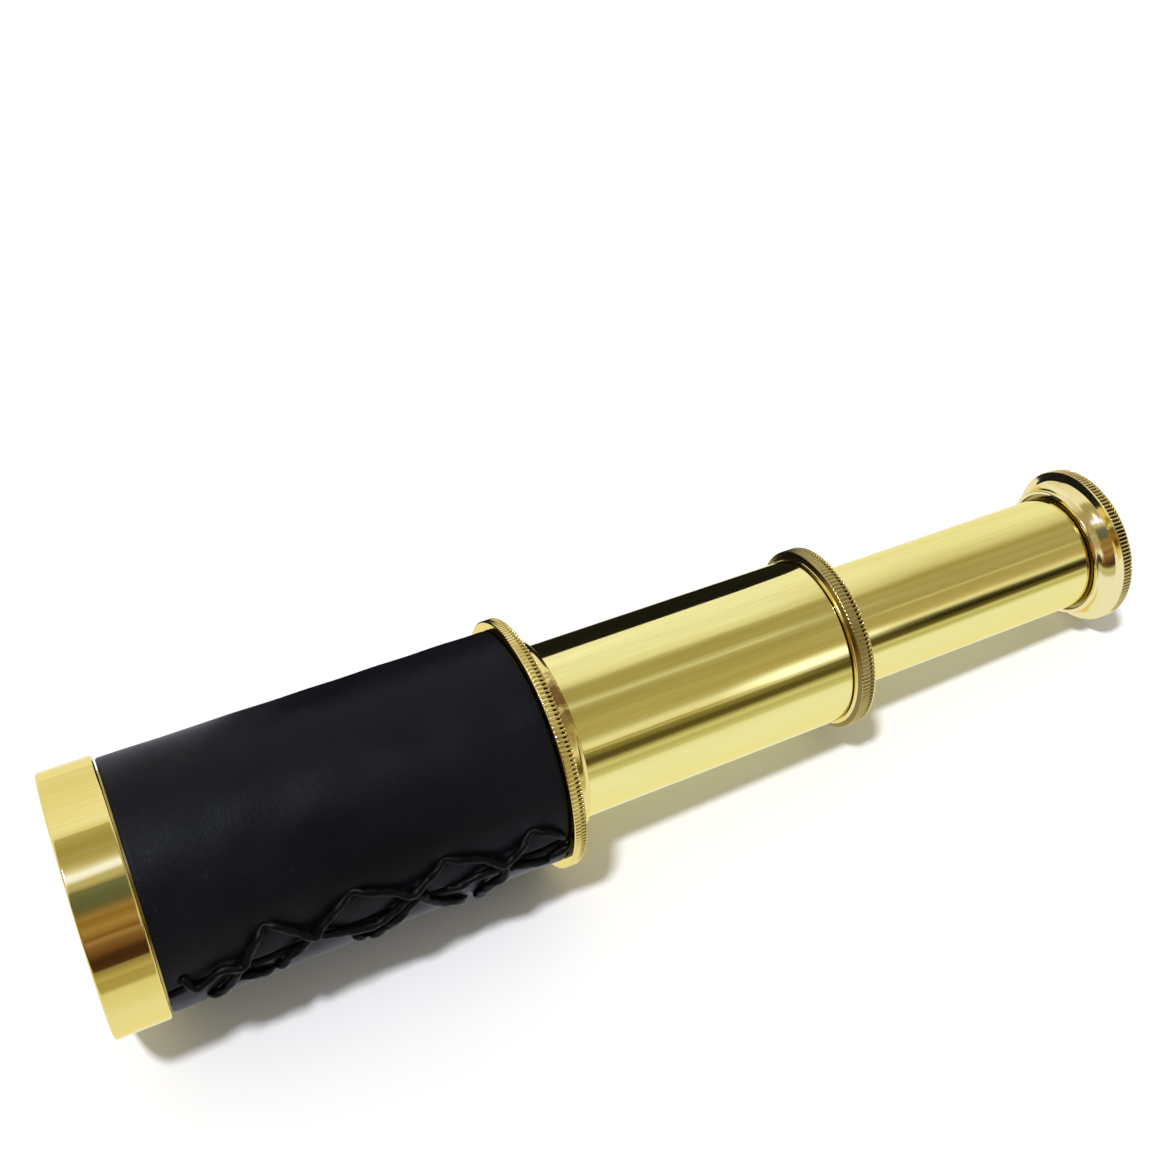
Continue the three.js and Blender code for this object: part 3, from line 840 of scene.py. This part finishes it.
def lacing():
    verts, faces = [], []
    for i, strand in enumerate(STRANDS):
        radius = THICK_CORD if i in THICK_STRANDS else THIN_CORD
        strand_verts, strand_faces = cord_tube(strand, radius)
        first = len(verts)
        verts += strand_verts
        faces += [tuple(v + first for v in face) for face in strand_faces]
    ob = plain_object("lacing_cord_v", verts, faces)
    ob.data.update()
    ob.data.shade_smooth()
    finish_piece(ob, "lacing_cord", CORD, "barrel")


lacing()


# ------------------------------------------------------------------ barrel collar
def barrel_collar():
    start, end, _ = turned_size("barrel_collar")
    bore = MIDDLE_RADIUS + METAL_GAP
    felt_seat = 13.0
    grooves = 180
    profile = [
        (start, bore, 0.05), (start, 13.4, 0.1), (57.6, 13.4, 0.03), (57.6, 16.92, 0.03),
        (57.70, 17.03, 0.03),
    ] + row(57.76, 59.14, 21, radius=17.07) + [
        (59.22, 17.00, 0.03), (59.30, 16.80, 0.06), (59.32, 14.25, 0.12),
        (59.55, 13.62, 0.16), (60.2, 13.42, 0.3), (61.15, 13.40, 0.5), (61.75, 13.05, 0.35),
        (end, 12.45, 0.2), (end, bore, 0.05), (59.0, bore, 0.02), (59.0, felt_seat, 0.02),
        (53.0, felt_seat, 0.02), (53.0, bore, 0.02),
    ]
    wall = knurl(start=57.66, end=59.20, above=16.97, depth=0.10, grooves=grooves,
                 run_in=0.14, run_out=0.06, power=0.9, phase_deg=85, pit=(58.84, 0.32, 0.24))
    turned_piece("barrel_collar", profile, grooves * 8, BARREL_COLLAR_BRASS, "barrel_collar",
                 "brass_knurled", wall=wall, sharp_deg=60)


def felt_liner(node, draw_radius, body):
    profile = tube_profile(node, draw_radius + FELT_GAP, (FILLET, 0.15, 0.15, FILLET))
    turned_piece(node, profile, 128, FELT, body, "felt")


barrel_collar()
felt_liner("barrel_felt_liner", MIDDLE_RADIUS, "barrel_collar")


# ------------------------------------------------------------------ draws
def draw_tube(node, bore, radius, flange_end, bead_start, material, body):
    """A thin tube with a flange at its low x end and a bead a little further on."""
    start, end, flange_radius = turned_size(node)
    bead_end = bead_start + 0.5
    profile = [
        (start, bore, 0.08), (start, flange_radius, 0.1), (flange_end, flange_radius, 0.1),
        (flange_end, radius, 0.03), (bead_start, radius, 0.03),
        (bead_start, flange_radius, 0.12), (bead_end, flange_radius, 0.12),
        (bead_end, radius, 0.03), (end, radius, 0.12), (end, bore, 0.06),
    ]
    turned_piece(node, profile, 256, material, body, "brass_polished", arc_steps=4)


draw_tube("middle_draw_tube", MIDDLE_BORE, MIDDLE_RADIUS, flange_end=46.4, bead_start=50.0,
          material=MIDDLE_DRAW_BRASS, body="middle_draw")
draw_tube("eye_draw_tube", EYE_BORE, EYE_RADIUS, flange_end=90.9, bead_start=94.3,
          material=EYE_DRAW_BRASS, body="eye_draw")


def split_ring(node, draw_radius, body):
    """A ring with rounded edges, slit at the top."""
    slit = 2.0
    stations = 120
    radius = turned_size(node)[2]
    profile = np.array(rounded(tube_profile(node, draw_radius + METAL_GAP,
                                            (0.08, 0.12, 0.12, 0.08))))
    half = slit / 2 / radius
    angles = np.linspace(math.pi / 2 + half, math.pi / 2 + TAU - half, stations)
    verts = around(profile[:, 0], profile[:, 1], angles[:, None]).reshape(-1, 3)
    ob = mesh_object(node + "_v", verts, capped_rings(stations, len(profile)))
    finish_piece(ob, node, INNER_BRASS, body)


split_ring("middle_stop_ring", MIDDLE_RADIUS, "middle_stop")
split_ring("eye_stop_ring", EYE_RADIUS, "eye_stop")


# ------------------------------------------------------------------ middle collar
def middle_collar():
    start, end, _ = turned_size("middle_collar")
    bore = EYE_RADIUS + METAL_GAP
    felt_seat = 9.7
    grooves = 138
    profile = [
        (start, bore, 0.05), (start, 11.25, 0.1), (102.6, 11.25, 0.02), (102.6, 12.06, 0.04),
        (102.70, 12.34, 0.05), (102.80, 12.38, 0.04), (102.86, 12.50, 0.05),
        (103.10, 13.10, 0.06),
    ] + row(103.22, 105.06, 26, radius=13.2) + [
        (105.14, 13.20, 0.0), (105.30, 13.12, 0.05), (end, 12.85, 0.06), (end, bore, 0.10),
        (102.0, bore, 0.02), (102.0, felt_seat, 0.02), (97.0, felt_seat, 0.02),
        (97.0, bore, 0.02),
    ]
    wall = knurl(start=103.16, end=105.08, above=13.1, depth=0.08, grooves=grooves,
                 run_in=0.12, run_out=0.05, power=1.0, phase_deg=137,
                 pit=(104.76, 0.25, 0.24))
    turned_piece("middle_collar", profile, grooves * 8, MIDDLE_COLLAR_BRASS, "middle_collar",
                 "brass_knurled", wall=wall, sharp_deg=60)


middle_collar()
felt_liner("middle_felt_liner", EYE_RADIUS, "middle_collar")

# ------------------------------------------------------------------ prism in the eye draw
turned_piece("prism_front_washer",
             tube_profile("prism_front_washer", bore=6.6, fillets=(0.2, FILLET, FILLET, 0.1)),
             128, INNER_BRASS, "eye_draw", "brass_inner")
turned_piece("prism_front_glass",
             tube_profile("prism_front_glass", bore=0.0, fillets=(0, 0.1, 0.1, 0)),
             128, GLASS, "eye_draw", "glass", closed=False, sharp_deg=30)
turned_piece("prism_sleeve", tube_profile("prism_sleeve", bore=7.7), 128,
             CARD, "eye_draw", "black_card")
turned_piece("prism_rear_disc",
             tube_profile("prism_rear_disc", bore=3.0, fillets=(FILLET, FILLET, FILLET, 0.15)),
             128, CARD, "eye_draw", "black_card")


def prism_plates():
    """The flat mirrors and their pads keep their CAD shapes, with softened edges."""
    # name, material, edge bevel in metres
    kinds = (("mirror", MIRROR, 0.00008), ("mirror_pad", FELT, 0.0002))
    for i in (1, 2, 3):
        for kind, material, width in kinds:
            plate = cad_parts[f"{kind}_{i}"]
            plate.data.materials.clear()
            plate.data.materials.append(material)
            bevel = plate.modifiers.new("edge", "BEVEL")
            bevel.width = width
            bevel.segments = 2
            bevel.limit_method = "ANGLE"


prism_plates()


# ------------------------------------------------------------------ eyecup
def cup_neck():
    """The hollow of the neck: nearly straight at low x, then sweeping out to the shoulder."""
    steps = 12
    start, length = 147.62, 2.60
    radius, dip, flare = 9.82, 0.05, 0.76
    points = []
    for i in range(steps + 1):
        t = i / steps
        hollow = dip * math.sin(math.pi * min(1.0, t * 1.6))
        points.append((start + length * t, radius - hollow + flare * t ** 3.0, 0.0))
    return points


def eyecup():
    start, end, _ = turned_size("eyecup")
    grooves = 126
    profile = [
        (start, 6.6, 0.1), (start, 8.0, 0.1), (147.85, 8.0, 0.03), (147.85, 9.2, 0.05),
        (147.37, 9.22, 0.05), (147.35, 9.30, 0.04), (147.37, 9.76, 0.12),
    ] + cup_neck() + [
        (150.26, 10.62, 0.03), (150.40, 10.98, 0.3), (150.60, 11.66, 0.08),
        (150.70, 11.86, 0.04),
    ] + row(150.80, 152.14, 16, radius=11.90) + [
        (152.28, 11.84, 0.04), (end, 11.55, 0.1), (end, 10.75, 0.25), (152.0, 10.1, 0.5),
        (151.45, 8.9, 0.5), (150.95, 7.2, 0.5), (150.6, 5.2, 0.5), (150.45, 4.25, 0.1),
        (150.3, 4.0, 0.05), (149.3, 4.0, 0.05), (149.3, 6.2, 0.02), (147.0, 6.2, 0.02),
        (147.0, 6.6, 0.02),
    ]
    wall = knurl(start=150.72, end=152.26, above=11.86, depth=0.34, grooves=grooves,
                 run_in=0.16, run_out=0.12, power=1.1, phase_deg=-98)
    turned_piece("eyecup", profile, grooves * 10, EYECUP_BRASS, "eye_end",
                 "brass_knurled", wall=wall, sharp_deg=60)


def eye_lens_ring():
    start, end, radius = turned_size("eye_lens_ring")
    profile = [
        (start, 5.0, 0.15), (start, radius, 0.1), (146.8, radius, 0.1), (146.8, 6.0, 0.03),
        (end, 6.0, 0.08), (end, 5.0, 0.08),
    ]
    turned_piece("eye_lens_ring", profile, 128, INNER_BRASS, "eye_end", "brass_inner")


eyecup()
turned_piece("eye_lens",
             lens_profile(radius=6.0, edge_start=147.9, edge_end=149.1,
                          front_curve=26, back_curve=0),
             128, GLASS, "eye_end", "glass", closed=False, sharp_deg=30)
eye_lens_ring()

# ------------------------------------------------------------------ floor
# The two rings the instrument lies on: (x, z)
COLLAR_FOOT = (58.4, -17.09)
EYECUP_FOOT = (151.5, -11.92)
FLOOR_HALF = 2600.0
# Painted reflection: for glossy rays only, the floor glows with these colours, which polished
# metal sees in it:
# (distance in front of the axis, red, green, blue), at low x and at high x.
FLOOR_DEPTH = 300.0
FLOOR_REFLECTION_LOW_X = [
    (0, 0.98, 1.0, 1.10), (26, 0.92, 0.96, 0.98), (36, 0.86, 0.86, 0.72),
    (50, 0.80, 0.80, 0.62), (56, 0.48, 0.42, 0.24), (78, 0.44, 0.38, 0.20),
    (86, 0.56, 0.48, 0.28), (105, 0.46, 0.40, 0.20), (150, 0.30, 0.25, 0.17),
    (175, 0.08, 0.035, 0.02), (300, 0.065, 0.03, 0.02),
]
FLOOR_REFLECTION_HIGH_X = [
    (0, 0.98, 1.03, 1.16), (34, 0.97, 1.03, 1.14), (42, 0.92, 0.97, 1.0),
    (49, 0.66, 0.68, 0.50), (66, 0.54, 0.54, 0.34), (82, 0.72, 0.72, 0.58),
    (96, 0.62, 0.62, 0.44), (125, 0.40, 0.38, 0.22), (175, 0.13, 0.11, 0.05),
    (300, 0.11, 0.09, 0.04),
]


def table_ramp(g, factor, table, full):
    """A ramp from rows of (position, red, green, blue), where full is the end of the scale."""
    return g.ramp(factor, [(position / full, tuple(colour)) for position, *colour in table])


def stage_floor():
    slope = (EYECUP_FOOT[1] - COLLAR_FOOT[1]) / (EYECUP_FOOT[0] - COLLAR_FOOT[0])
    corners = [(x * FLOOR_HALF, y * FLOOR_HALF) for x, y in ((-1, -1), (1, -1), (1, 1), (-1, 1))]
    verts = [(x, y, COLLAR_FOOT[1] + slope * (x - COLLAR_FOOT[0])) for x, y in corners]
    ob = plain_object("floor", verts, [(0, 1, 2, 3)])
    g = Shader(bpy.data.materials.new("floor_paper_painted_reflection"))
    paper = g.mix(g.noise(g.coords(40)), (0.90, 0.90, 0.902), (0.925, 0.925, 0.925))
    matt = g.node("BsdfDiffuse", {0: paper})
    x, y, _ = g.split(g.coords(1000))
    forward = g.math("DIVIDE", g.math("MULTIPLY", y, -1.0), FLOOR_DEPTH, clamp=True)
    low_x = table_ramp(g, forward, FLOOR_REFLECTION_LOW_X, FLOOR_DEPTH)
    high_x = table_ramp(g, forward, FLOOR_REFLECTION_HIGH_X, FLOOR_DEPTH)
    side = g.progress(x, 18.0 + FACE_X, 45.0)
    # painted reflection: glossy rays see the floor glow with these bands, other rays see matt
    # paper
    painted_reflection = g.node("Emission", {0: g.mix(side, low_x, high_x)})
    glossy = g.node("LightPath").outputs["Is Glossy Ray"]
    g.finish(g.mix_shader(glossy, matt, painted_reflection))
    ob.data.materials.append(g.block)


stage_floor()

# ------------------------------------------------------------------ dark screen
VIEW_DIR = (0.361428, 0.708801, -0.605782)  # the camera's forward direction
# Rings of the screen: (x, y, z of the centre, radius)
SCREEN_RINGS = [
    (28, 70, 6, 35.0), (40, 72, 7, 36.0), (108, 80, 8, 36.5), (124, 82, 8, 36.5),
    (131, 83, 8, 35.0), (135, 84, 8, 30.0), (137, 85, 8, 22.0), (138, 85, 8, 8.0),
]


def stage_flag():
    """A dark rounded screen behind the instrument, seen only in reflections and refractions."""
    sides = 72
    verts = []
    for x, y, z, radius in SCREEN_RINGS:
        for k in range(sides):
            angle = TAU * k / sides
            verts.append((x, y + radius * math.cos(angle), z + radius * math.sin(angle)))
    ob = plain_object("flag", verts, capped_rings(len(SCREEN_RINGS), sides))
    g = Shader(bpy.data.materials.new("flag_black"))
    patches = g.noise(g.coords(30, 60), detail=2.0)
    dark = g.node("Emission", {0: g.mix(patches, (0.006, 0.006, 0.008), (0.02, 0.02, 0.024))})
    # the screen turns transparent when the camera looks another way
    look = g.node("VectorTransform", {0: (0.0, 0.0, 1.0)}, vector_type="VECTOR",
                  convert_from="CAMERA", convert_to="WORLD")
    aligned = g.node("VectorMath", {0: look.outputs[0], 1: VIEW_DIR}, operation="DOT_PRODUCT")
    present = g.progress(aligned.outputs["Value"], 0.965, 0.025)
    g.finish(g.mix_shader(present, g.node("BsdfTransparent"), dark))
    ob.data.materials.append(g.block)
    ob.visible_camera = False
    ob.visible_diffuse = False
    ob.visible_shadow = False


stage_flag()

# ------------------------------------------------------------------ world
# Panels that polished metal sees, for directions towards low x, the middle and high x:
# (degrees from the front horizon over the top to the back horizon, red, green, blue)
PANELS_LOW_X = [
    (0, 0.07, 0.03, 0.02), (5, 0.18, 0.09, 0.04), (11, 0.26, 0.15, 0.08),
    (15, 0.40, 0.26, 0.17), (17.5, 0.22, 0.11, 0.03), (22, 0.36, 0.24, 0.12),
    (25, 0.40, 0.27, 0.13), (32, 0.31, 0.18, 0.06), (36, 0.36, 0.25, 0.14),
    (40, 0.19, 0.16, 0.10), (44, 0.13, 0.14, 0.11), (50, 0.14, 0.16, 0.14),
    (57, 0.18, 0.20, 0.16), (60, 0.50, 0.47, 0.34), (65, 0.62, 0.62, 0.55),
    (67, 1.10, 1.20, 2.2), (70.5, 1.15, 1.30, 2.5), (73, 0.86, 0.90, 1.2),
    (77, 0.56, 0.52, 0.42), (82, 0.47, 0.44, 0.28), (93, 0.39, 0.35, 0.18),
    (99, 0.46, 0.42, 0.25), (103, 0.50, 0.46, 0.30), (105.5, 0.84, 0.84, 0.72),
    (111, 0.98, 1.0, 1.02), (135, 0.95, 0.94, 0.86), (160, 0.88, 0.85, 0.74),
    (172, 0.87, 0.88, 0.86),
]
PANELS_MIDDLE = [
    (0, 0.13, 0.11, 0.04), (4, 0.22, 0.20, 0.09), (8, 0.30, 0.26, 0.13),
    (10, 0.62, 0.58, 0.40), (12, 0.42, 0.38, 0.20), (14, 0.88, 0.86, 0.80),
    (19, 0.90, 0.92, 0.96), (23, 0.66, 0.65, 0.58), (27, 0.50, 0.47, 0.31),
    (32, 0.50, 0.44, 0.25), (36, 0.46, 0.42, 0.25), (44, 0.50, 0.45, 0.28),
    (50, 0.44, 0.40, 0.23), (60, 0.42, 0.37, 0.22), (66, 0.48, 0.45, 0.32),
    (69, 0.70, 0.72, 0.66), (73, 0.57, 0.56, 0.45), (77, 0.43, 0.39, 0.24),
    (90, 0.43, 0.39, 0.23), (94, 0.52, 0.50, 0.36), (97.5, 0.76, 0.78, 0.70),
    (102, 0.87, 0.90, 0.86), (108, 0.96, 1.0, 1.08), (125, 0.96, 1.0, 1.10),
    (140, 1.02, 1.08, 1.24), (172, 1.0, 1.05, 1.2),
]
PANELS_HIGH_X = [
    (0, 0.035, 0.035, 0.012), (8, 0.035, 0.03, 0.01), (12, 0.12, 0.11, 0.09),
    (14.5, 0.30, 0.29, 0.24), (17, 0.72, 0.70, 0.62), (20, 0.90, 0.88, 0.82),
    (24, 0.74, 0.70, 0.58), (28, 0.56, 0.50, 0.36), (33, 0.50, 0.43, 0.28),
    (45, 0.46, 0.41, 0.27), (48, 0.52, 0.47, 0.34), (50, 0.64, 0.60, 0.47),
    (53, 0.42, 0.38, 0.25), (62, 0.45, 0.42, 0.29), (68, 0.46, 0.42, 0.29),
    (75, 0.43, 0.38, 0.24), (82, 0.48, 0.43, 0.30), (90, 0.42, 0.37, 0.22),
    (94, 0.44, 0.39, 0.24), (99, 0.55, 0.51, 0.37), (105, 0.70, 0.67, 0.58),
    (112, 0.77, 0.77, 0.68), (122, 0.86, 0.86, 0.80), (134, 0.95, 0.96, 0.96),
    (146, 0.97, 1.01, 1.08), (172, 0.95, 0.98, 1.06),
]
GLINT = [
    (8, 0.0, 0.0, 0.0), (13, 0.55, 0.65, 1.0), (20, 0.80, 0.95, 1.7),
    (24, 0.45, 0.5, 0.7), (30, 0.0, 0.0, 0.0),
]
# How much of the glint is added, by the direction's x: (x, amount)
GLINT_SPAN = [(0.385, 0.0), (0.43, 1.0), (0.462, 1.0), (0.50, 0.0)]
TENT_WHITE = (1.03, 1.03, 1.03)    # what the camera sees
TENT_MATT = (0.53, 0.51, 0.455)    # what lights matt surfaces


def stage_world():
    """A soft studio: metal sees bands of panels, matt surfaces an even tent."""
    world = bpy.data.worlds.new("studio")
    bpy.context.scene.world = world
    g = Shader(world, output="OutputWorld")
    direction = g.node("TexCoord").outputs["Generated"]
    x, y, z = g.split(direction)
    rise = g.math("ARCTAN2", g.math("ABSOLUTE", z), g.math("MULTIPLY", y, -1.0))
    rise = g.math("DIVIDE", rise, math.pi, clamp=True)
    # the panels' edges are not dead straight
    wander = g.noise(g.vector("MULTIPLY", direction, (26.0, 2.0, 2.0)), detail=3.0, rough=0.6)
    rise = g.math("MULTIPLY_ADD", g.math("SUBTRACT", wander, 0.5), 0.016, rise)
    threads = g.noise(g.vector("MULTIPLY", direction, (3.0, 34.0, 34.0)),
                      detail=4.0, rough=0.7)
    low_x, middle, high_x, glint = (
        table_ramp(g, rise, table, 180.0)
        for table in (PANELS_LOW_X, PANELS_MIDDLE, PANELS_HIGH_X, GLINT))
    to_middle = g.progress(x, 0.08, 0.22)
    to_high_x = g.progress(x, 0.42, 0.10)
    panels = g.mix(to_high_x, g.mix(to_middle, low_x, middle), high_x)
    panels = g.vector("ADD", panels, g.scaled(glint, g.ramp(x, GLINT_SPAN)))
    streaks = g.math("MULTIPLY_ADD", g.math("SUBTRACT", threads, 0.5), 0.55, 1.0)
    panels = g.scaled(panels, streaks)
    rays = g.node("LightPath").outputs
    seen = g.mix(rays["Is Diffuse Ray"], TENT_WHITE, TENT_MATT)
    seen = g.mix(rays["Is Glossy Ray"], seen, panels)
    g.finish(g.node("Background", {0: seen}))
    world.cycles.sampling_method = "NONE"


stage_world()


# ------------------------------------------------------------------ lamp
def stage_key():
    """The soft lamp overhead, a little to low x and to the front."""
    lamp = bpy.data.lights.new("key_soft", "SUN")
    lamp.energy = 2.35
    lamp.angle = math.radians(6.5)
    lamp.color = (0.97, 0.99, 1.06)
    ob = bpy.data.objects.new("key_soft", lamp)
    bpy.context.scene.collection.objects.link(ob)
    towards = Vector((-0.35, -0.27, 1.0))
    ob.rotation_euler = towards.to_track_quat("Z", "Y").to_euler()
    ob.location = towards * 0.6


stage_key()

# ------------------------------------------------------------------ camera
CAMERA_PLACE = (6.010, -129.681, 144.026)
CAMERA_RIGHT = (0.890851, -0.454296, -0.000044)
CAMERA_DOWN = (-0.275235, -0.539645, -0.795631)


def stage_camera():
    scene = bpy.context.scene
    lens = bpy.data.cameras.new("photo_camera")
    camera = bpy.data.objects.new("photo_camera", lens)
    scene.collection.objects.link(camera)
    x, y, z = CAMERA_PLACE
    place = Vector((x + FACE_X, y, z)) * MM
    axes = Matrix((Vector(CAMERA_RIGHT), -Vector(CAMERA_DOWN), -Vector(VIEW_DIR)))
    camera.matrix_world = Matrix.Translation(place) @ axes.transposed().to_4x4()
    lens.sensor_width = 36.0
    lens.sensor_fit = "HORIZONTAL"
    lens.lens = 45.9953738
    lens.shift_x = -0.0278212147
    lens.shift_y = -0.059359281
    lens.clip_start = 0.005
    lens.clip_end = 20.0
    scene.camera = camera
    scene.view_settings.view_transform = "Standard"
    scene.view_settings.look = "None"


stage_camera()
bpy.context.view_layer.update()
